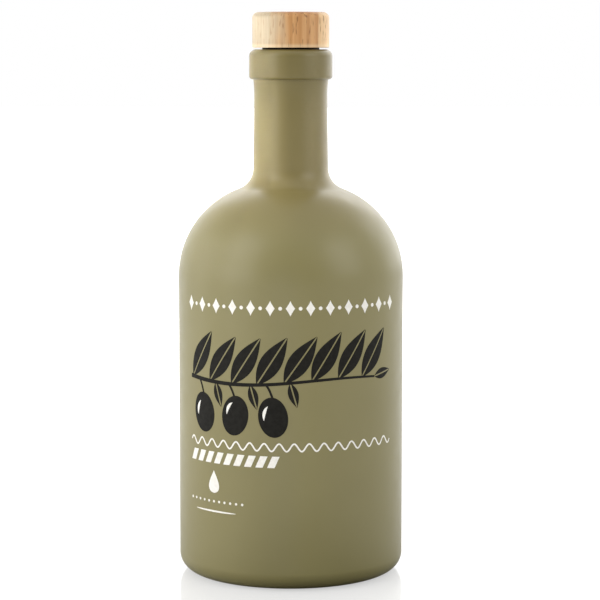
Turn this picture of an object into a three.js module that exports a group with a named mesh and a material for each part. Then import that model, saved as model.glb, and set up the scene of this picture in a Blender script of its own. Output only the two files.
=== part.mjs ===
// A half-litre olive oil bottle of lacquered glass, shut by a stopper with a turned wooden head.
// Millimetres, +Z up. The origin is the centre of the base, on the surface that the bottle stands on.
// The glass is opaque and the bottle is shut, so the body is solid apart from the socket for the stopper.

import * as THREE from "three";

// Driving dimensions of the glass
const BODY_DIAMETER = 80;
const GLASS_HEIGHT = 186.2;
const HEEL_RADIUS = 6.3;
const BEARING_RING_WIDTH = 4;
const PUSH_UP_DEPTH = 2.4;
const SHOULDER_START = 106;
const SHOULDER_RADIUS = 33;
const NECK_FILLET_RADIUS = 8;
const NECK_FOOT_DIAMETER = 26.6;
const NECK_TOP_DIAMETER = 25.9;
const NECK_FLARE = 0.35;
const NECK_FLARE_HEIGHT = 6;
const LIP_DIAMETER = 29.5;
const LIP_HEIGHT = 10.5;
const LIP_TOP_ROUND = 2.4;
const LIP_FOOT_ROUND = 1.2;
const BORE_DIAMETER = 19.2;
const MOUTH_CHAMFER = 0.8;

// Driving dimensions of the stopper
const HEAD_DIAMETER = 27.2;
const HEAD_HEIGHT = 12.5;
const HEAD_TOP_ROUND = 2.2;
const HEAD_FOOT_ROUND = 0.4;
const HEAD_CLEARANCE = 0.6;
const SHANK_LENGTH = 20;
const SHANK_TIP_CHAMFER = 1;
const BORE_CLEARANCE = 0.3;

// How closely the facets follow the round surfaces
const CHORD_TOLERANCE = 0.04;
const RADIAL_SEGMENTS = 72;

const RIGHT_ANGLE = Math.PI / 2;
const bodyRadius = BODY_DIAMETER / 2;
const boreRadius = BORE_DIAMETER / 2;
const boreFloor = GLASS_HEIGHT - SHANK_LENGTH;
const headFoot = GLASS_HEIGHT + HEAD_CLEARANCE;

const point = (radius, height) => new THREE.Vector2(radius, height);

// Points of an arc about (radius, height), with as many chords as the tolerance asks for
function arc(radius, height, size, from, to) {
  const step = 2 * Math.acos(1 - CHORD_TOLERANCE / size);
  const chords = Math.max(2, Math.ceil(Math.abs(to - from) / step));
  return new THREE.EllipseCurve(radius, height, size, size, from, to, to < from).getPoints(chords);
}

// The hollow under the base: a shallow spherical dome inside the bearing ring
function pushUpOutline() {
  const rim = bodyRadius - HEEL_RADIUS - BEARING_RING_WIDTH;
  const sphere = (rim ** 2 + PUSH_UP_DEPTH ** 2) / (2 * PUSH_UP_DEPTH);
  const centre = PUSH_UP_DEPTH - sphere;
  return arc(0, centre, sphere, RIGHT_ANGLE, Math.atan2(-centre, rim));
}

// The round shoulder and the hollow fillet that carries it into the neck, tangent to each other
function shoulderOutline() {
  const shoulderCentre = bodyRadius - SHOULDER_RADIUS;
  const filletCentre = NECK_FOOT_DIAMETER / 2 + NECK_FILLET_RADIUS;
  const across = filletCentre - shoulderCentre;
  const turn = Math.acos(across / (SHOULDER_RADIUS + NECK_FILLET_RADIUS));
  const filletHeight = SHOULDER_START + across * Math.tan(turn);
  return [
    ...arc(shoulderCentre, SHOULDER_START, SHOULDER_RADIUS, 0, turn),
    ...arc(filletCentre, filletHeight, NECK_FILLET_RADIUS, Math.PI + turn, Math.PI).slice(1),
  ];
}

// The flare at the top of the neck and the heavy rounded lip
function lipOutline() {
  const neckRadius = NECK_TOP_DIAMETER / 2;
  const lipRadius = LIP_DIAMETER / 2;
  const lipFoot = GLASS_HEIGHT - LIP_HEIGHT;
  const flare = (NECK_FLARE ** 2 + NECK_FLARE_HEIGHT ** 2) / (2 * NECK_FLARE);
  const flareTurn = Math.asin(NECK_FLARE_HEIGHT / flare);
  return [
    ...arc(neckRadius + flare, lipFoot - NECK_FLARE_HEIGHT, flare, Math.PI, Math.PI - flareTurn),
    ...arc(lipRadius - LIP_FOOT_ROUND, lipFoot + LIP_FOOT_ROUND, LIP_FOOT_ROUND, -RIGHT_ANGLE, 0),
    ...arc(lipRadius - LIP_TOP_ROUND, GLASS_HEIGHT - LIP_TOP_ROUND, LIP_TOP_ROUND, 0, RIGHT_ANGLE),
  ];
}

function glassOutline() {
  return [
    ...pushUpOutline(),
    ...arc(bodyRadius - HEEL_RADIUS, HEEL_RADIUS, HEEL_RADIUS, -RIGHT_ANGLE, 0),
    ...shoulderOutline(),
    ...lipOutline(),
    point(boreRadius + MOUTH_CHAMFER, GLASS_HEIGHT),
    point(boreRadius, GLASS_HEIGHT - MOUTH_CHAMFER),
    point(boreRadius, boreFloor),
    point(0, boreFloor),
  ];
}

// The shank is squeezed in the bore and swells again where it leaves the mouth
function shankOutline() {
  const squeezed = boreRadius - BORE_CLEARANCE;
  return [
    point(0, boreFloor),
    point(squeezed - SHANK_TIP_CHAMFER, boreFloor),
    point(squeezed, boreFloor + SHANK_TIP_CHAMFER),
    point(squeezed, GLASS_HEIGHT - MOUTH_CHAMFER),
    point(squeezed + MOUTH_CHAMFER, GLASS_HEIGHT),
    point(squeezed + MOUTH_CHAMFER, headFoot),
    point(0, headFoot),
  ];
}

function headOutline() {
  const radius = HEAD_DIAMETER / 2;
  const top = headFoot + HEAD_HEIGHT;
  return [
    point(0, headFoot),
    ...arc(radius - HEAD_FOOT_ROUND, headFoot + HEAD_FOOT_ROUND, HEAD_FOOT_ROUND, -RIGHT_ANGLE, 0),
    ...arc(radius - HEAD_TOP_ROUND, top - HEAD_TOP_ROUND, HEAD_TOP_ROUND, 0, RIGHT_ANGLE),
    point(0, top),
  ];
}

// A solid of revolution about Z from an outline that starts and ends on the axis
function turned(name, outline, material) {
  const geometry = new THREE.LatheGeometry(outline, RADIAL_SEGMENTS).rotateX(RIGHT_ANGLE);
  const mesh = new THREE.Mesh(geometry, material);
  mesh.name = name;
  return mesh;
}

const lacqueredGlass = new THREE.MeshStandardMaterial({ color: 0x867e58, roughness: 0.45, metalness: 0 });
const beech = new THREE.MeshStandardMaterial({ color: 0xd6aa74, roughness: 0.6, metalness: 0 });
const darkPolymer = new THREE.MeshStandardMaterial({ color: 0x2a1c12, roughness: 0.7, metalness: 0 });

const stopper = new THREE.Group();
stopper.add(turned("stopper_shank", shankOutline(), darkPolymer));
stopper.add(turned("stopper_head", headOutline(), beech));

const oilBottle = new THREE.Group();
oilBottle.add(turned("bottle", glassOutline(), lacqueredGlass));
oilBottle.add(stopper);

export default oilBottle;
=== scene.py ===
import math

import bpy
import numpy as np
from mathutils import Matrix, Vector, noise


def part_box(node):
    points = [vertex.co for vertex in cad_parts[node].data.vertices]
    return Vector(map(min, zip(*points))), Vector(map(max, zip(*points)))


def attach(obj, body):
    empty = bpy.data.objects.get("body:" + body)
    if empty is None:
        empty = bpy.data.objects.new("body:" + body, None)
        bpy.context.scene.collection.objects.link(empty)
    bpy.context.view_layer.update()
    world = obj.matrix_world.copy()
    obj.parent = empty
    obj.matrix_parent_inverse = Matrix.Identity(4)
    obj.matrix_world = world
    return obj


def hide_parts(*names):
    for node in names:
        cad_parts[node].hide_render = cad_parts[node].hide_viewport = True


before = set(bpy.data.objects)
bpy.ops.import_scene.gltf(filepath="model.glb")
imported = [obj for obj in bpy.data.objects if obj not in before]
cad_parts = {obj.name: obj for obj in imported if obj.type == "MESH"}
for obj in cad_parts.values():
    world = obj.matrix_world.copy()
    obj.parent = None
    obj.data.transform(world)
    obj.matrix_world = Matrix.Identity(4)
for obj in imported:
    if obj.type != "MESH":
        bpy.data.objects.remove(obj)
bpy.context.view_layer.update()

MM = 0.001

# Places and sizes read from the frame
_, glass_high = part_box("bottle")
head_low, head_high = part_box("stopper_head")
shank_low, shank_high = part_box("stopper_shank")
BODY_RADIUS = glass_high.x
GLASS_TOP = glass_high.z
HEAD_RADIUS = head_high.x
HEAD_FOOT = head_low.z
HEAD_TOP = head_high.z
SHANK_TIP = shank_low.z
SHANK_RADIUS = shank_high.x

# The outline of the glass between those places
HEEL_RADIUS = 6.3 * MM
BEARING_RING_WIDTH = 4 * MM
PUSH_UP_DEPTH = 2.4 * MM
SHOULDER_START = 106 * MM
SHOULDER_RADIUS = 33 * MM
NECK_FILLET_RADIUS = 8 * MM
NECK_FOOT_RADIUS = 13.3 * MM
NECK_TOP_RADIUS = 12.95 * MM
NECK_FLARE = 0.35 * MM
NECK_FLARE_HEIGHT = 6 * MM
LIP_RADIUS = 14.75 * MM
LIP_HEIGHT = 10.5 * MM
LIP_TOP_ROUND = 2.4 * MM
LIP_FOOT_ROUND = 1.2 * MM
BORE_RADIUS = 9.6 * MM
MOUTH_CHAMFER = 0.8 * MM

# The outline of the stopper
HEAD_TOP_ROUND = 2.2 * MM
HEAD_FOOT_ROUND = 0.4 * MM
SHANK_TIP_CHAMFER = 1 * MM

# How fine the turned meshes are, and how uneven the blown glass is
GLASS_SEGMENTS = 288
HEAD_SEGMENTS = 192
SHANK_SEGMENTS = 96
ARC_STEP = math.radians(4)
FEWEST_CHORDS = 4
LINE_STEP = 1.5 * MM
DOME_STEPS = 24
FLARE_STEPS = 9
SAME_POINT = 0.0001 * MM
SHARP_EDGE = math.radians(40)
WOBBLE_HEIGHT = 0.05 * MM
WOBBLE_LENGTH = 28 * MM

# The print: how thick the ink is, and how fine its meshes are
INK_LIFT = 0.04 * MM
INK_ROOT = 0.08 * MM
INK_STEP = 1 * MM
INK_TIP = 0.02
GLOSS_LIFT = 0.07 * MM
OVAL_STEPS = 33
LOZENGE_STEPS = 17
LEAF_STEPS = 25
STALK_STEPS = 17
STEM_STEPS = 80
GLOSS_STEPS = 25
STEPS_IN_A_WAVE = 40

# The rows of the print: places along the wall from the front, heights above the base, angles in degrees
UPRIGHT = 90
PRINT_HALF_WIDTH = 41.7 * MM
LOZENGE_ROW = 98.6 * MM
LOZENGE_HEIGHT = 5.4 * MM
LOZENGE_WIDTH = 3.2 * MM
LOZENGE_COUNT = 13
LOZENGE_HOLLOW = 1.25
BEAD_SIZE = 1.3 * MM
WAVE_ROW = 50.6 * MM
WAVE_HEIGHT = 2.6 * MM
WAVE_STROKE = 0.55 * MM
WAVE_COUNT = 16
DASH_FOOT = 43.5 * MM
DASH_HEIGHT = 4 * MM
DASH_WIDTH = 2.6 * MM
DASH_SLANT = 1.8 * MM
DASH_PITCH = 4.2 * MM
DASH_END = -4 * MM

# The branch: its stem, leaves and fruits
STEM_HEIGHT = 73 * MM
STEM_SWAY = 1.1 * MM
STEM_WAVE = 13 * MM
STEM_WIDTH = 1.5 * MM
STEM_END = 32.5 * MM
LEAF_LENGTH = 20 * MM
LEAF_WIDTH = 7.4 * MM
LEAF_ANGLE = 56
LEAF_SWAY = 1.5
LEAF_SWAY_STEP = 2.4
LEAF_BELLY = 0.85
LEAF_RIB = 0.5 * MM
RIB_SHARE = 0.4
TIP_LEAF_WIDTH = LEAF_WIDTH / 2
TIP_LEAF_ANGLE = 10
LEAF_COUNT = 8
FIRST_LEAF = -40.5 * MM
LAST_LEAF = 26.5 * MM
FRUIT_COUNT = 3
FIRST_FRUIT = -34 * MM
LAST_FRUIT = -6 * MM
FRUIT_HEIGHT = 61 * MM
FRUIT_LENGTH = 14 * MM
FRUIT_WIDTH = 10.4 * MM
FRUIT_TILT = 9
STALK_WIDTH = 0.8 * MM
STALK_BEND = 0.6
SMALL_LEAF_LENGTH = 9 * MM
SMALL_LEAF_WIDTH = 3.6 * MM
SMALL_LEAF_ANGLE = -74

# Where a fruit's stalk and small leaf leave the stem, as shares of the way to the next fruit
STALK_LEAD = 0.2
SMALL_LEAF_PLACE = 0.42

# The light on a fruit: its width, its arc in degrees, and its reach as shares of the fruit's size
GLOSS_WIDTH = 1.1 * MM
GLOSS_FROM = 25
GLOSS_TO = 95
GLOSS_ACROSS = 0.31
GLOSS_UP = 0.33
GLOSS_POINT = 0.1

# The small mark under the rows
MARK_PLACE = -29.2 * MM
DROP_MIDDLE = 37 * MM
DROP_HEIGHT = 8 * MM
DROP_WIDTH = 4.8 * MM
DROP_POINT = 1.5
DOT_ROW = 30 * MM
DOT_ROW_WIDTH = 24 * MM
DOT_SIZE = 0.9 * MM
DOT_COUNT = 11
RULE_ROW = 26.5 * MM
RULE_LENGTH = 19 * MM
RULE_WIDTH = 0.6 * MM

# Camera: the photograph's viewpoint, with the bottle a little left of the middle
CAMERA_DISTANCE = 0.8
CAMERA_HEIGHT = 187.66 * MM
CAMERA_SIDE = 3.27 * MM
CAMERA_TILT = math.radians(6.46)
CAMERA_LENS = 135
CAMERA_SENSOR = 36

# Stage: the white table, which glows more further out, and the card under it
STAGE_REACH = 6
PURE_WHITE = (1, 1, 1, 1)
TABLE_DROP = 0.02 * MM
TABLE_DARK = (0.34, 0.34, 0.34)
TABLE_LIGHT = (0.36, 0.36, 0.36)
TABLE_ROUGHNESS = 0.02
TABLE_IOR = 1.2
HAZE_SCALE = 3
NEAR_GLOW = 0.52
FAR_GLOW = 1
GLOW_START = 80 * MM
GLOW_END = 400 * MM
CARD_DROP = 0.07 * MM
CARD_ROUGHNESS = 0.8

# The card's grey at three distances from the middle of the bottle's shade
SHADE_CENTRE = (20 * MM, -65 * MM, 0)
CARD_GREYS = ((30 * MM, 0.03), (90 * MM, 0.62), (350 * MM, 0.84))

# Light: what the narrow lights are aimed at, and the studio's white from the camera's side to the back
NECK_MIDDLE = 160 * MM
FOOT_MIDDLE = 20 * MM
FRONT_WHITE = 0.22
BACK_WHITE = 0.93
FRONT_END = -0.95
BACK_START = -0.5

# A noise texture's values lie mostly between these two
NOISE_LOW = 0.3
NOISE_HIGH = 0.7

# The colour sockets of a Mix node
MIX_FIRST = 6
MIX_SECOND = 7
MIX_RESULT = 2

# The lacquer: its two tones, the painted shade that tints it warmer and darker up the neck, and its
# relief
LACQUER_DARK = (0.211, 0.184, 0.073)
LACQUER_LIGHT = (0.234, 0.206, 0.086)
LACQUER_ROUGHNESS = (0.31, 0.37)
WARM_SHADE_TINT = (0.95, 0.87, 0.77)
WARM_SHADE_HEIGHT = 18 * MM
DEEP_SHADE_TINT = (0.82, 0.82, 0.76)
CLOUD_SCALE = 22
SHEEN_SCALE = 160
PEEL_SCALE = 900
PEEL_DEPTH = 0.02 * MM
PEEL_STRENGTH = 0.35
GRIT_SCALE = 4200
GRIT_DEPTH = 0.006 * MM
GRIT_STRENGTH = 0.4

# The stopper's wood, by distance from the heart of the tree
TREE_HEART = (45 * MM, -12 * MM, 0)
STREAK_FULL = 34.6 * MM
STREAK_START = 36.6 * MM
# Pale sapwood far from the heart, on the stopper's left, which is also a painted highlight from the light
# on the left
SAPWOOD_HIGHLIGHT_START = 45.8 * MM
SAPWOOD_HIGHLIGHT_FULL = 52.2 * MM
WAVER = 2 * MM
WAVER_SCALE = 250
HEARTWOOD_DARK = (0.50, 0.24, 0.08)
HEARTWOOD_LIGHT = (0.60, 0.325, 0.125)
STREAK_COLOUR = (0.72, 0.48, 0.24)
SAPWOOD_HIGHLIGHT_COLOUR = (0.48, 0.39, 0.252)
RING_SCALE = 105
RING_DISTORTION = 4
WOOD_ROUGHNESS = (0.40, 0.52)

# Its fibres and pores, drawn out along the grain
FIBRE_SCALE = 1300
FIBRE_CONTRAST = 0.4
FIBRE_DEPTH = 0.03 * MM
FIBRE_STRENGTH = 0.5
PORE_SCALE = 1900
PORE_COLOUR = (0.29, 0.13, 0.04)
PORE_START = 0.6
PORE_FULL = 0.68
PORE_DEPTH = 0.05 * MM
PORE_STRENGTH = 0.8
SAPWOOD_HIGHLIGHT_PORES = 0.3
LONG_GRAIN = (1, 1, 0.04)
WAVY_GRAIN = (1, 1, 0.1)
SHORT_GRAIN = (1, 1, 0.12)
ACROSS_GRAIN = (1, 1, 0)

# A painted highlight along its lower edge, and its end grain on top, darkened by painted shade as well
EDGE_HIGHLIGHT_HEIGHT = 1.6 * MM
EDGE_HIGHLIGHT_SHARE = 0.5
EDGE_HIGHLIGHT_FLAT = 0.4
EDGE_HIGHLIGHT_COLOUR = (0.80, 0.62, 0.38)
END_GRAIN_AND_SHADE_TINT = (0.80, 0.72, 0.62)

# The stopper's plug: near black, as a dark polymer and as painted shade in the narrow gap under the head
PLUG_DARK = (0.004, 0.002, 0.001)
PLUG_LIGHT = (0.010, 0.005, 0.003)
PLUG_ROUGHNESS = (0.5, 0.7)
PLUG_GLOSS = 0.2
MOTTLE_SCALE = 900

# The inks, where they cover thinly and fully
BLACK_THIN = (0.0155, 0.0145, 0.0115)
BLACK_FULL = (0.0105, 0.0098, 0.0078)
BLACK_ROUGHNESS = (0.55, 0.65)
BLACK_GLOSS = 0.12
WHITE_THIN = (0.78, 0.75, 0.68)
WHITE_FULL = (0.87, 0.85, 0.79)
WHITE_ROUGHNESS = (0.45, 0.55)
WHITE_GLOSS = 0.4
COVER_SCALE = 700
COVER_FULL = 0.6
INK_GRIT_SCALE = 2600
INK_GRIT_DEPTH = 0.006 * MM
INK_GRIT_STRENGTH = 0.5


def arc(radius, height, size, start, end):
    """Points of an arc about (radius, height) in the outline's plane; the angles are in degrees."""
    start, end = math.radians(start), math.radians(end)
    count = max(FEWEST_CHORDS, math.ceil(abs(end - start) / ARC_STEP))
    turns = np.linspace(start, end, count + 1)
    return np.column_stack((radius + size * np.cos(turns), height + size * np.sin(turns)))


def line(start, end):
    """Points along a straight stretch of an outline."""
    start, end = np.array(start), np.array(end)
    count = max(1, math.ceil(np.linalg.norm(end - start) / LINE_STEP))
    return start + np.linspace(0, 1, count + 1)[:, None] * (end - start)


def joined(*stretches):
    """One outline from stretches laid end to end, with straight runs where they don't touch."""
    outline = np.array(stretches[0])
    for stretch in stretches[1:]:
        run = line(outline[-1], stretch[0])
        outline = np.concatenate((outline[:-1], run, np.array(stretch)[1:]))
    apart = np.linalg.norm(np.diff(outline, axis=0), axis=1) > SAME_POINT
    return outline[np.concatenate(([True], apart))]


def base_outline():
    """The shallow dome under the bottle, from the axis to the bearing ring."""
    rim = BODY_RADIUS - HEEL_RADIUS - BEARING_RING_WIDTH
    sphere = (rim ** 2 + PUSH_UP_DEPTH ** 2) / (2 * PUSH_UP_DEPTH)
    across = np.linspace(0, rim, DOME_STEPS)
    return np.column_stack((across, PUSH_UP_DEPTH - sphere + np.sqrt(sphere ** 2 - across ** 2)))


def shoulder_outline():
    """The round shoulder and the hollow fillet into the neck, tangent to each other."""
    shoulder_centre = BODY_RADIUS - SHOULDER_RADIUS
    fillet_centre = NECK_FOOT_RADIUS + NECK_FILLET_RADIUS
    across = fillet_centre - shoulder_centre
    turn = math.acos(across / (SHOULDER_RADIUS + NECK_FILLET_RADIUS))
    fillet_height = SHOULDER_START + across * math.tan(turn)
    turn = math.degrees(turn)
    return joined(
        arc(shoulder_centre, SHOULDER_START, SHOULDER_RADIUS, 0, turn),
        arc(fillet_centre, fillet_height, NECK_FILLET_RADIUS, 180 + turn, 180),
    )


def lip_outline():
    """The flare at the top of the neck and the heavy rounded lip."""
    foot = GLASS_TOP - LIP_HEIGHT
    rise = np.linspace(0, 1, FLARE_STEPS)
    flare = np.column_stack(
        (NECK_TOP_RADIUS + NECK_FLARE * rise ** 2, foot - NECK_FLARE_HEIGHT * (1 - rise))
    )
    return joined(
        flare,
        arc(LIP_RADIUS - LIP_FOOT_ROUND, foot + LIP_FOOT_ROUND, LIP_FOOT_ROUND, -90, 0),
        arc(LIP_RADIUS - LIP_TOP_ROUND, GLASS_TOP - LIP_TOP_ROUND, LIP_TOP_ROUND, 0, 90),
    )


def glass_outline():
    return joined(
        base_outline(),
        arc(BODY_RADIUS - HEEL_RADIUS, HEEL_RADIUS, HEEL_RADIUS, -90, 0),
        shoulder_outline(),
        lip_outline(),
        [(BORE_RADIUS + MOUTH_CHAMFER, GLASS_TOP)],
        [(BORE_RADIUS, GLASS_TOP - MOUTH_CHAMFER)],
        [(BORE_RADIUS, SHANK_TIP)],
        [(0, SHANK_TIP)],
    )


def shank_outline():
    squeezed = SHANK_RADIUS - MOUTH_CHAMFER
    return joined(
        [(0, SHANK_TIP)],
        [(squeezed - SHANK_TIP_CHAMFER, SHANK_TIP)],
        [(squeezed, SHANK_TIP + SHANK_TIP_CHAMFER)],
        [(squeezed, GLASS_TOP - MOUTH_CHAMFER)],
        [(SHANK_RADIUS, GLASS_TOP)],
        [(SHANK_RADIUS, HEAD_FOOT)],
        [(0, HEAD_FOOT)],
    )


def head_outline():
    foot_centre = HEAD_RADIUS - HEAD_FOOT_ROUND
    top_centre = HEAD_RADIUS - HEAD_TOP_ROUND
    return joined(
        [(0, HEAD_FOOT)],
        arc(foot_centre, HEAD_FOOT + HEAD_FOOT_ROUND, HEAD_FOOT_ROUND, -90, 0),
        arc(top_centre, HEAD_TOP - HEAD_TOP_ROUND, HEAD_TOP_ROUND, 0, 90),
        [(0, HEAD_TOP)],
    )


def wobble(turn, height):
    """How far the blown glass stands off its true outline at a place on the wall."""
    spot = Vector((math.sin(turn), -math.cos(turn), 0)) * BODY_RADIUS
    spot.z = height
    return WOBBLE_HEIGHT * noise.noise(spot / WOBBLE_LENGTH)


def no_wobble(turn, height):
    return 0


def add_mesh(name, vertices, faces):
    mesh = bpy.data.meshes.new(name)
    mesh.from_pydata(vertices, [], faces)
    mesh.validate()
    mesh.update()
    piece = bpy.data.objects.new(name, mesh)
    bpy.context.scene.collection.objects.link(piece)
    return piece


def smooth(piece):
    """Smooth shading with the real edges kept sharp."""
    piece.data.shade_smooth()
    piece.data.set_sharp_from_angle(angle=SHARP_EDGE)


def turned(name, outline, segments, offset=no_wobble):
    """A closed surface of revolution; the outline starts and ends on the axis and runs anticlockwise."""
    vertices = [(0, 0, outline[0][1])]
    for radius, height in outline[1:-1]:
        for step in range(segments):
            turn = 2 * math.pi * step / segments
            reach = radius + offset(turn, height)
            vertices.append((reach * math.sin(turn), -reach * math.cos(turn), height))
    vertices.append((0, 0, outline[-1][1]))
    rings = len(outline) - 2
    last = len(vertices) - 1
    faces = []
    for step in range(segments):
        here, there = step, (step + 1) % segments
        faces.append((0, 1 + there, 1 + here))
        for ring in range(rings - 1):
            low, high = 1 + ring * segments, 1 + (ring + 1) * segments
            faces.append((low + here, low + there, high + there, high + here))
        top = 1 + (rings - 1) * segments
        faces.append((top + here, top + there, last))
    piece = add_mesh(name, vertices, faces)
    smooth(piece)
    return piece


# Materials


def new_material(name):
    material = bpy.data.materials.new(name)
    material.use_nodes = True
    return material, material.node_tree, material.node_tree.nodes["Principled BSDF"]


def add_node(tree, kind, **settings):
    """A shader node; a setting in capitals is one of its inputs, and any other is a property."""
    node = tree.nodes.new(kind)
    for key, value in settings.items():
        if key[0].isupper():
            node.inputs[key.replace("_", " ")].default_value = value
        else:
            setattr(node, key, value)
    return node


def place(tree, stretch=(1, 1, 1)):
    """The place on the piece in its own frame, stretched before a texture reads it."""
    coordinates = add_node(tree, "ShaderNodeTexCoord")
    mapping = add_node(tree, "ShaderNodeMapping", Scale=stretch)
    tree.links.new(coordinates.outputs["Object"], mapping.inputs["Vector"])
    return mapping.outputs["Vector"]


def noise_value(tree, scale, stretch=(1, 1, 1), detail=2.0, roughness=0.5):
    texture = add_node(tree, "ShaderNodeTexNoise", Scale=scale, Detail=detail, Roughness=roughness)
    tree.links.new(place(tree, stretch), texture.inputs["Vector"])
    return texture.outputs["Fac"]


def ramp(tree, value, stops):
    """Colours along a value; each stop is (place, colour)."""
    node = add_node(tree, "ShaderNodeValToRGB")
    elements = node.color_ramp.elements
    while len(elements) < len(stops):
        elements.new(0.5)
    for element, (position, colour) in zip(elements, stops):
        element.position = position
        element.color = (*colour, 1)
    tree.links.new(value, node.inputs["Fac"])
    return node.outputs["Color"]


def spread(tree, value, low, high, from_low=NOISE_LOW, from_high=NOISE_HIGH):
    """A value carried from one range to another, and held at the ends."""
    node = add_node(
        tree, "ShaderNodeMapRange", From_Min=from_low, From_Max=from_high, To_Min=low, To_Max=high
    )
    tree.links.new(value, node.inputs["Value"])
    return node.outputs["Result"]


def blended(tree, kind, amount, first, second):
    """Two colours mixed by an amount that is a number or another node's output."""
    node = add_node(tree, "ShaderNodeMix", data_type="RGBA", blend_type=kind)
    if isinstance(amount, (int, float)):
        node.inputs["Factor"].default_value = amount
    else:
        tree.links.new(amount, node.inputs["Factor"])
    for source, socket in ((first, node.inputs[MIX_FIRST]), (second, node.inputs[MIX_SECOND])):
        if isinstance(source, tuple):
            socket.default_value = (*source, 1)
        else:
            tree.links.new(source, socket)
    return node.outputs[MIX_RESULT]


def bump(tree, shader, value, depth, strength, before=None):
    """Relief of a depth in metres on the shader's normal, on top of an earlier relief."""
    node = add_node(tree, "ShaderNodeBump", Strength=strength, Distance=depth)
    tree.links.new(value, node.inputs["Height"])
    if before is not None:
        tree.links.new(before, node.inputs["Normal"])
    tree.links.new(node.outputs["Normal"], shader.inputs["Normal"])
    return node.outputs["Normal"]


def set_roughness(tree, shader, value, limits):
    tree.links.new(spread(tree, value, *limits), shader.inputs["Roughness"])


def height_share(tree, low, high):
    """How far up a place is between two heights, from 0 to 1."""
    coordinates = add_node(tree, "ShaderNodeTexCoord")
    split = add_node(tree, "ShaderNodeSeparateXYZ")
    tree.links.new(coordinates.outputs["Object"], split.inputs["Vector"])
    return spread(tree, split.outputs["Z"], 0, 1, low, high)


def lacquer_material():
    """Matt olive lacquer: faint clouding, painted shade that makes it warmer and darker up the neck, and
    fine orange peel.
    """
    material, tree, shader = new_material("lacquer")
    clouds = noise_value(tree, CLOUD_SCALE, detail=3)
    colour = ramp(tree, clouds, ((NOISE_LOW, LACQUER_DARK), (NOISE_HIGH, LACQUER_LIGHT)))
    # Painted shade: the upper shoulder, neck and lip are tinted warmer and darker in place of the whiter
    # sheen the body catches
    neck_foot = SHOULDER_START + SHOULDER_RADIUS
    warm_shade_amount = height_share(tree, neck_foot - WARM_SHADE_HEIGHT, neck_foot)
    colour = blended(tree, "MULTIPLY", warm_shade_amount, colour, WARM_SHADE_TINT)
    deep_shade_amount = height_share(tree, neck_foot, GLASS_TOP)
    colour = blended(tree, "MULTIPLY", deep_shade_amount, colour, DEEP_SHADE_TINT)
    tree.links.new(colour, shader.inputs["Base Color"])
    set_roughness(tree, shader, noise_value(tree, SHEEN_SCALE), LACQUER_ROUGHNESS)
    peel = bump(tree, shader, noise_value(tree, PEEL_SCALE, detail=1), PEEL_DEPTH, PEEL_STRENGTH)
    bump(tree, shader, noise_value(tree, GRIT_SCALE), GRIT_DEPTH, GRIT_STRENGTH, peel)
    return material


def distance_from(tree, centre, stretch=(1, 1, 1)):
    """How far a place on the piece is from a point, in metres."""
    distance = add_node(tree, "ShaderNodeVectorMath", operation="DISTANCE")
    tree.links.new(place(tree, stretch), distance.inputs[0])
    distance.inputs[1].default_value = centre
    return distance.outputs["Value"]


def combined(tree, operation, first, second):
    """Two values put together by a sum, a product or another operation."""
    node = add_node(tree, "ShaderNodeMath", operation=operation)
    tree.links.new(first, node.inputs[0])
    tree.links.new(second, node.inputs[1])
    return node.outputs["Value"]


def growth_rings(tree):
    """Rings about the heart of the tree, which lies beside the stopper."""
    coordinates = add_node(tree, "ShaderNodeTexCoord")
    shift = [-value for value in TREE_HEART]
    mapping = add_node(tree, "ShaderNodeMapping", Location=shift, Scale=LONG_GRAIN)
    tree.links.new(coordinates.outputs["Object"], mapping.inputs["Vector"])
    rings = add_node(
        tree, "ShaderNodeTexWave", wave_type="RINGS", rings_direction="Z",
        Scale=RING_SCALE, Distortion=RING_DISTORTION, Detail=3, Detail_Scale=2, Detail_Roughness=0.6,
    )
    tree.links.new(mapping.outputs["Vector"], rings.inputs["Vector"])
    return rings.outputs["Fac"]


def heart_distance(tree):
    """How far a place is from the heart of the tree, wavering along the grain."""
    waver = spread(tree, noise_value(tree, WAVER_SCALE, WAVY_GRAIN), -WAVER, WAVER)
    return combined(tree, "ADD", distance_from(tree, TREE_HEART, ACROSS_GRAIN), waver)


def wood_colour(tree, reach, sapwood_and_highlight):
    """Ringed heartwood with a paler streak on the right edge, nearest the heart, and pale sapwood further
    out on the left, which is also a painted highlight.
    """
    colour = ramp(tree, growth_rings(tree), ((0, HEARTWOOD_DARK), (1, HEARTWOOD_LIGHT)))
    streak = spread(tree, reach, 1, 0, STREAK_FULL, STREAK_START)
    colour = blended(tree, "MIX", streak, colour, STREAK_COLOUR)
    return blended(tree, "MIX", sapwood_and_highlight, colour, SAPWOOD_HIGHLIGHT_COLOUR)


def pore_pits(tree, sapwood_and_highlight):
    """Short pores along the grain, fainter in the sapwood that is also the painted highlight."""
    pores = noise_value(tree, PORE_SCALE, SHORT_GRAIN, detail=1)
    pits = spread(tree, pores, 0, 1, PORE_START, PORE_FULL)
    return combined(tree, "MULTIPLY", pits, spread(tree, sapwood_and_highlight, 1, SAPWOOD_HIGHLIGHT_PORES, 0, 1))


def turned_edges(tree, colour):
    """The wood's colour with a pale band of painted highlight along its lower edge, and the end grain on
    top darkened, partly as painted shade.
    """
    # Painted highlight: a pale band along the lower edge of the head
    edge = height_share(tree, HEAD_FOOT, HEAD_FOOT + EDGE_HIGHLIGHT_HEIGHT)
    edge_highlight = spread(tree, edge, EDGE_HIGHLIGHT_SHARE, 0, EDGE_HIGHLIGHT_FLAT, 1)
    colour = blended(tree, "MIX", edge_highlight, colour, EDGE_HIGHLIGHT_COLOUR)
    # Darker on top: end grain, and painted shade along the top edge as well
    end_grain_and_shade = height_share(tree, HEAD_TOP - HEAD_TOP_ROUND / 2, HEAD_TOP)
    return blended(tree, "MULTIPLY", end_grain_and_shade, colour, END_GRAIN_AND_SHADE_TINT)


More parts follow.
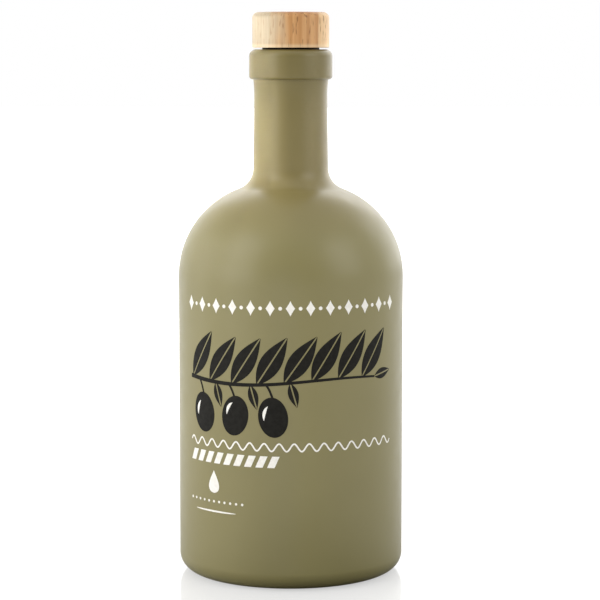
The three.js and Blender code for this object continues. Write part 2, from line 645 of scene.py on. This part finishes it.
def wood_material():
    """Light turned wood with the grain along the stopper's axis."""
    material, tree, shader = new_material("turned_wood")
    reach = heart_distance(tree)
    # Pale sapwood on the left, which is also a painted highlight
    sapwood_and_highlight = spread(tree, reach, 0, 1, SAPWOOD_HIGHLIGHT_START, SAPWOOD_HIGHLIGHT_FULL)
    fibres = noise_value(tree, FIBRE_SCALE, LONG_GRAIN, detail=3, roughness=0.6)
    pits = pore_pits(tree, sapwood_and_highlight)
    colour = wood_colour(tree, reach, sapwood_and_highlight)
    colour = blended(tree, "SOFT_LIGHT", FIBRE_CONTRAST, colour, fibres)
    colour = blended(tree, "MIX", pits, colour, PORE_COLOUR)
    tree.links.new(turned_edges(tree, colour), shader.inputs["Base Color"])
    set_roughness(tree, shader, fibres, WOOD_ROUGHNESS)
    grain = bump(tree, shader, fibres, FIBRE_DEPTH, FIBRE_STRENGTH)
    bump(tree, shader, spread(tree, pits, 1, 0, 0, 1), PORE_DEPTH, PORE_STRENGTH, grain)
    return material


def shank_material():
    """Dark polymer with a dull, slightly mottled skin, made near black as painted shade in the gap under
    the head.
    """
    material, tree, shader = new_material("dark_polymer")
    shader.inputs["Specular IOR Level"].default_value = PLUG_GLOSS
    mottle = noise_value(tree, MOTTLE_SCALE, detail=3)
    colour = ramp(tree, mottle, ((NOISE_LOW, PLUG_DARK), (NOISE_HIGH, PLUG_LIGHT)))
    tree.links.new(colour, shader.inputs["Base Color"])
    set_roughness(tree, shader, mottle, PLUG_ROUGHNESS)
    return material


def ink_material(name, thin, full, roughness, gloss):
    """Screen-print ink, a little uneven in how well it covers."""
    material, tree, shader = new_material(name)
    shader.inputs["Specular IOR Level"].default_value = gloss
    cover = noise_value(tree, COVER_SCALE, detail=4, roughness=0.6)
    colour = ramp(tree, cover, ((NOISE_LOW, thin), (COVER_FULL, full)))
    tree.links.new(colour, shader.inputs["Base Color"])
    set_roughness(tree, shader, cover, roughness)
    bump(tree, shader, noise_value(tree, INK_GRIT_SCALE), INK_GRIT_DEPTH, INK_GRIT_STRENGTH)
    return material


def floor_material():
    """White gloss acrylic, lit from below so that it is pure white away from the bottle."""
    material, tree, shader = new_material("white_acrylic")
    shader.inputs["Roughness"].default_value = TABLE_ROUGHNESS
    shader.inputs["IOR"].default_value = TABLE_IOR
    haze = noise_value(tree, HAZE_SCALE)
    colour = ramp(tree, haze, ((NOISE_LOW, TABLE_DARK), (NOISE_HIGH, TABLE_LIGHT)))
    tree.links.new(colour, shader.inputs["Base Color"])
    shader.inputs["Emission Color"].default_value = PURE_WHITE
    reach = distance_from(tree, (0, 0, 0))
    glow = spread(tree, reach, NEAR_GLOW, FAR_GLOW, GLOW_START, GLOW_END)
    tree.links.new(glow, shader.inputs["Emission Strength"])
    return material


def card_material():
    """Dull card that is dark in front of the bottle, as in its shade, grey round it and pale far off."""
    material, tree, shader = new_material("grey_card")
    shader.inputs["Roughness"].default_value = CARD_ROUGHNESS
    stops = [(reach, (grey, grey, grey)) for reach, grey in CARD_GREYS]
    colour = ramp(tree, distance_from(tree, SHADE_CENTRE), stops)
    tree.links.new(colour, shader.inputs["Base Color"])
    return material


def finish_piece(piece, material, node=None):
    piece.data.materials.append(material)
    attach(piece, "root")
    if node:
        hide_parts(node)


# The print: bands of ink between two edges, placed along the wall from the front and up from the base


def on_wall(along, height, lift):
    turn = along / BODY_RADIUS
    reach = BODY_RADIUS + wobble(turn, height) + lift
    return reach * math.sin(turn), -reach * math.cos(turn), height


def band(edges, lift=INK_LIFT):
    """Vertices and faces of a thin closed solid of ink between a right-hand and a left-hand edge."""
    right, left = np.array(edges[0]), np.array(edges[1])
    count = len(right)
    widest = np.linalg.norm(left - right, axis=1).max()
    across = max(2, math.ceil(widest / INK_STEP))
    share = np.linspace(0, 1, across + 1)
    flat = right[:, None, :] + share[None, :, None] * (left - right)[:, None, :]
    flat = flat.reshape(-1, 2)
    outer = [on_wall(along, height, lift) for along, height in flat]
    inner = [on_wall(along, height, -INK_ROOT) for along, height in flat]
    width = across + 1
    size = count * width
    faces = []
    for i in range(count - 1):
        for j in range(across):
            a, b = i * width + j, (i + 1) * width + j
            faces.append((a, b, b + 1, a + 1))
            faces.append((size + a, size + a + 1, size + b + 1, size + b))
    rim = [i * width for i in range(count)]
    rim += [(count - 1) * width + j for j in range(1, width)]
    rim += [i * width + across for i in range(count - 2, -1, -1)]
    rim += range(across - 1, 0, -1)
    for a, b in zip(rim, rim[1:] + rim[:1]):
        faces.append((a, size + a, size + b, b))
    return outer + inner, faces


def ink_piece(name, bands, material):
    """All the bands of one motif as one piece."""
    vertices, faces = [], []
    for band_vertices, band_faces in bands:
        shift = len(vertices)
        vertices += band_vertices
        faces += [tuple(shift + index for index in face) for face in band_faces]
    piece = add_mesh(name, vertices, faces)
    smooth(piece)
    finish_piece(piece, material)


def mirrored(along, half, centre, angle):
    """The two edges of a shape that is alike on both sides of its axis, turned about its centre."""
    turn = math.radians(angle)
    spin = np.array(((math.cos(turn), math.sin(turn)), (-math.sin(turn), math.cos(turn))))
    edges = [np.column_stack((along, side * half)) for side in (-1, 1)]
    return [np.array(centre) + edge @ spin for edge in edges]


def oval(centre, length, width, angle=0):
    turns = np.linspace(math.pi - INK_TIP, INK_TIP, OVAL_STEPS)
    return mirrored(np.cos(turns) * length / 2, np.sin(turns) * width / 2, centre, angle)


def lozenge(centre):
    """An upright lozenge with slightly hollow sides."""
    share = np.linspace(INK_TIP - 1, 1 - INK_TIP, LOZENGE_STEPS)
    half = LOZENGE_WIDTH / 2 * (1 - np.abs(share)) ** LOZENGE_HOLLOW
    return mirrored(share * LOZENGE_HEIGHT / 2, half, centre, UPRIGHT)


def drop(centre):
    """A drop with a round foot and a pointed top."""
    turns = np.linspace(math.pi - INK_TIP, INK_TIP, OVAL_STEPS)
    half = np.sin(turns) * np.sin(turns / 2) ** DROP_POINT
    half *= DROP_WIDTH / 2 / half.max()
    return mirrored(np.cos(turns) * DROP_HEIGHT / 2, half, centre, UPRIGHT)


def ribbon(points, half_width):
    """A line of ink along a path; the half width may vary along it."""
    points = np.array(points)
    direction = np.gradient(points, axis=0)
    direction /= np.linalg.norm(direction, axis=1)[:, None]
    normal = np.column_stack((-direction[:, 1], direction[:, 0]))
    reach = np.broadcast_to(half_width, len(points))[:, None] * normal
    return [points - reach, points + reach]


def leaf(foot, length, width, angle):
    """The two halves of a pointed leaf, with a bare rib between them."""
    share = np.linspace(INK_TIP, 1 - INK_TIP, LEAF_STEPS)
    half = width / 2 * np.sin(math.pi * share ** LEAF_BELLY)
    slit = np.minimum(LEAF_RIB / 2, half * RIB_SHARE)
    lower_rim, upper_rim = mirrored(share * length, half, foot, angle)
    lower_rib, upper_rib = mirrored(share * length, slit, foot, angle)
    return [band((lower_rim, lower_rib)), band((upper_rib, upper_rim))]


def stem_height(along):
    return STEM_HEIGHT + STEM_SWAY * math.sin(along / STEM_WAVE)


def on_stem(along):
    return along, stem_height(along)


def stem_bands():
    """The stem, thick at its foot on the left, with a last leaf at its tip."""
    path = [on_stem(along) for along in np.linspace(-PRINT_HALF_WIDTH, STEM_END, STEM_STEPS)]
    bands = [band(ribbon(path, np.linspace(STEM_WIDTH / 2, STEM_WIDTH / 4, STEM_STEPS)))]
    tip_leaf_length = PRINT_HALF_WIDTH - STEM_END
    return bands + leaf(on_stem(STEM_END), tip_leaf_length, TIP_LEAF_WIDTH, TIP_LEAF_ANGLE)


def upper_leaves():
    bands = []
    for count, along in enumerate(np.linspace(FIRST_LEAF, LAST_LEAF, LEAF_COUNT)):
        lean = LEAF_ANGLE + LEAF_SWAY * math.cos(LEAF_SWAY_STEP * count)
        bands += leaf(on_stem(along), LEAF_LENGTH, LEAF_WIDTH, lean)
    return bands


def fruit_places():
    """Centre and tilt of each fruit under the stem."""
    return [
        ((along, FRUIT_HEIGHT), UPRIGHT + FRUIT_TILT * (-1) ** count)
        for count, along in enumerate(np.linspace(FIRST_FRUIT, LAST_FRUIT, FRUIT_COUNT))
    ]


def stalk(along, height, start):
    """A short bent stalk from a place on the stem to the top of a fruit."""
    top = height + FRUIT_LENGTH / 2 - STALK_WIDTH
    foot = stem_height(start)
    rise = np.linspace(0, 1, STALK_STEPS)
    across = start + (along - start) * rise ** STALK_BEND
    path = np.column_stack((across, foot + (top - foot) * rise))
    return ribbon(path, STALK_WIDTH / 2)


def fruit_bands():
    """Fruits on short stalks, with a small leaf after each."""
    pitch = (LAST_FRUIT - FIRST_FRUIT) / (FRUIT_COUNT - 1)
    bands = []
    for (along, height), tilt in fruit_places():
        bands.append(band(oval((along, height), FRUIT_LENGTH, FRUIT_WIDTH, tilt)))
        bands.append(band(stalk(along, height, along - STALK_LEAD * pitch)))
        foot = on_stem(along + SMALL_LEAF_PLACE * pitch)
        bands += leaf(foot, SMALL_LEAF_LENGTH, SMALL_LEAF_WIDTH, SMALL_LEAF_ANGLE)
    return bands


def gloss_bands():
    """A crescent of light on each fruit."""
    swell = np.sin(np.linspace(GLOSS_POINT, math.pi - GLOSS_POINT, GLOSS_STEPS))
    bands = []
    for (along, height), tilt in fruit_places():
        turns = np.radians(np.linspace(tilt + GLOSS_FROM, tilt + GLOSS_TO, GLOSS_STEPS))
        across = along + GLOSS_ACROSS * FRUIT_WIDTH * np.cos(turns)
        up = height + GLOSS_UP * FRUIT_LENGTH * np.sin(turns)
        crescent = ribbon(np.column_stack((across, up)), GLOSS_WIDTH / 2 * swell)
        bands.append(band(crescent, GLOSS_LIFT))
    return bands


def lozenge_bands():
    """A row of lozenges with a bead between each two."""
    places = np.linspace(-PRINT_HALF_WIDTH, PRINT_HALF_WIDTH, LOZENGE_COUNT)
    middles = (places[1:] + places[:-1]) / 2
    bands = [band(lozenge((along, LOZENGE_ROW))) for along in places]
    return bands + [band(oval((along, LOZENGE_ROW), BEAD_SIZE, BEAD_SIZE)) for along in middles]


def wave_bands():
    along = np.linspace(-PRINT_HALF_WIDTH, PRINT_HALF_WIDTH, STEPS_IN_A_WAVE * WAVE_COUNT)
    turns = np.linspace(0, 2 * math.pi * WAVE_COUNT, len(along))
    path = np.column_stack((along, WAVE_ROW + WAVE_HEIGHT / 2 * np.sin(turns)))
    return [band(ribbon(path, WAVE_STROKE / 2))]


def dash_bands():
    """A short row of bold slanted dashes."""
    bands = []
    for along in np.arange(-PRINT_HALF_WIDTH, DASH_END, DASH_PITCH):
        left = line((along, DASH_FOOT), (along + DASH_SLANT, DASH_FOOT + DASH_HEIGHT))
        right = left + np.array((DASH_WIDTH, 0))
        bands.append(band((right, left)))
    return bands


def mark_bands():
    """A drop over a row of dots and a tapered rule."""
    dots = np.linspace(MARK_PLACE - DOT_ROW_WIDTH / 2, MARK_PLACE + DOT_ROW_WIDTH / 2, DOT_COUNT)
    bands = [band(drop((MARK_PLACE, DROP_MIDDLE)))]
    bands += [band(oval((along, DOT_ROW), DOT_SIZE, DOT_SIZE)) for along in dots]
    return bands + [band(oval((MARK_PLACE, RULE_ROW), RULE_LENGTH, RULE_WIDTH))]


def make_print():
    black = ink_material("black_ink", BLACK_THIN, BLACK_FULL, BLACK_ROUGHNESS, BLACK_GLOSS)
    white = ink_material("white_ink", WHITE_THIN, WHITE_FULL, WHITE_ROUGHNESS, WHITE_GLOSS)
    ink_piece("print_branch", stem_bands() + upper_leaves() + fruit_bands(), black)
    ink_piece("print_fruit_gloss", gloss_bands(), white)
    ink_piece("print_lozenges", lozenge_bands(), white)
    ink_piece("print_wave", wave_bands(), white)
    ink_piece("print_dashes", dash_bands(), white)
    ink_piece("print_mark", mark_bands(), white)


# Scene


def make_bottle():
    glass = turned("glass_body", glass_outline(), GLASS_SEGMENTS, wobble)
    finish_piece(glass, lacquer_material(), "bottle")
    head = turned("wood_head", head_outline(), HEAD_SEGMENTS)
    finish_piece(head, wood_material(), "stopper_head")
    shank = turned("shank_plug", shank_outline(), SHANK_SEGMENTS)
    finish_piece(shank, shank_material(), "stopper_shank")


def add_sheet(name, height, material):
    """A wide level sheet of the stage."""
    sides = ((-1, -1), (1, -1), (1, 1), (-1, 1))
    corners = [(x * STAGE_REACH, y * STAGE_REACH, height) for x, y in sides]
    sheet = add_mesh(name, corners, [(0, 1, 2, 3)])
    sheet.data.materials.append(material)
    return sheet


def make_floor():
    """The white table that shows, and a grey card in its place for the light that comes up from below."""
    table = add_sheet("floor", -TABLE_DROP, floor_material())
    table.visible_diffuse = False
    table.visible_glossy = False
    table.visible_shadow = False
    card = add_sheet("grey_card", -CARD_DROP, card_material())
    card.visible_camera = False


def make_camera():
    data = bpy.data.cameras.new("camera")
    data.lens = CAMERA_LENS
    data.sensor_width = CAMERA_SENSOR
    camera = bpy.data.objects.new("camera", data)
    camera.location = (CAMERA_SIDE, -CAMERA_DISTANCE, CAMERA_HEIGHT)
    camera.rotation_euler = (math.pi / 2 - CAMERA_TILT, 0, 0)
    bpy.context.scene.collection.objects.link(camera)
    bpy.context.scene.camera = camera


def add_softbox(name, azimuth, distance, height, width, tall, power, aim=GLASS_TOP / 2):
    """A soft light that faces the bottle; azimuth 0 is at the camera, and positive is to its right."""
    data = bpy.data.lights.new(name, "AREA")
    data.shape = "RECTANGLE"
    data.size = width
    data.size_y = tall
    data.energy = power
    light = bpy.data.objects.new(name, data)
    turn = math.radians(azimuth)
    light.location = (distance * math.sin(turn), -distance * math.cos(turn), height)
    facing = Vector((0, 0, aim)) - light.location
    light.rotation_euler = facing.to_track_quat("-Z", "Y").to_euler()
    light.visible_camera = False
    bpy.context.scene.collection.objects.link(light)
    return light


def add_grid_light(name, beam, **softbox):
    """A softbox with a honeycomb grid, which keeps its beam narrow and gives no highlight."""
    light = add_softbox(name, **softbox)
    light.data.spread = math.radians(beam)
    light.visible_glossy = False


def make_lights():
    add_softbox("key_low", azimuth=-57, distance=0.8, height=0.2, width=0.55, tall=0.2, power=1.0)
    add_softbox("key_high", azimuth=-57, distance=0.8, height=0.64, width=0.55, tall=0.5, power=2.1)
    add_softbox("wrap_left", azimuth=-100, distance=0.9, height=0.3, width=0.4, tall=0.6, power=0.88)
    add_softbox("rim_left", azimuth=-138, distance=0.9, height=0.3, width=0.4, tall=0.6, power=0.45)
    add_softbox("fill_right", azimuth=58, distance=0.85, height=0.5, width=0.5, tall=0.6, power=1.4)
    add_softbox("rim_right", azimuth=136, distance=0.9, height=0.4, width=0.7, tall=0.7, power=1.95)
    add_softbox("rim_top", azimuth=128, distance=0.8, height=0.9, width=0.4, tall=0.4, power=0.15)
    add_softbox("back_low", azimuth=180, distance=0.9, height=0.27, width=0.9, tall=0.5, power=1.3)
    add_softbox("back_high", azimuth=180, distance=0.8, height=0.7, width=0.9, tall=0.45, power=2.3)
    add_grid_light(
        "neck_left", beam=12, azimuth=-92, distance=0.6, height=0.25, width=0.1, tall=0.03,
        power=0.028, aim=NECK_MIDDLE,
    )
    add_grid_light(
        "neck_right", beam=8, azimuth=105, distance=0.6, height=0.25, width=0.1, tall=0.03,
        power=0.005, aim=NECK_MIDDLE,
    )
    add_grid_light(
        "foot_left", beam=26, azimuth=-10, distance=0.6, height=0.08, width=0.9, tall=0.15,
        power=0.09, aim=FOOT_MIDDLE,
    )


def make_surroundings():
    """A white studio, dim on the camera's side and plain white where the camera sees it."""
    world = bpy.data.worlds.new("studio")
    bpy.context.scene.world = world
    world.use_nodes = True
    tree = world.node_tree
    background = tree.nodes["Background"]
    coordinates = add_node(tree, "ShaderNodeTexCoord")
    split = add_node(tree, "ShaderNodeSeparateXYZ")
    tree.links.new(coordinates.outputs["Generated"], split.inputs["Vector"])
    depth = spread(tree, split.outputs["Y"], FRONT_WHITE, BACK_WHITE, FRONT_END, BACK_START)
    path = add_node(tree, "ShaderNodeLightPath")
    strength = combined(tree, "MAXIMUM", depth, path.outputs["Is Camera Ray"])
    tree.links.new(strength, background.inputs["Strength"])
    background.inputs["Color"].default_value = PURE_WHITE
    bpy.context.scene.view_settings.view_transform = "Standard"


make_camera()
make_surroundings()
make_lights()
make_floor()
make_bottle()
make_print()
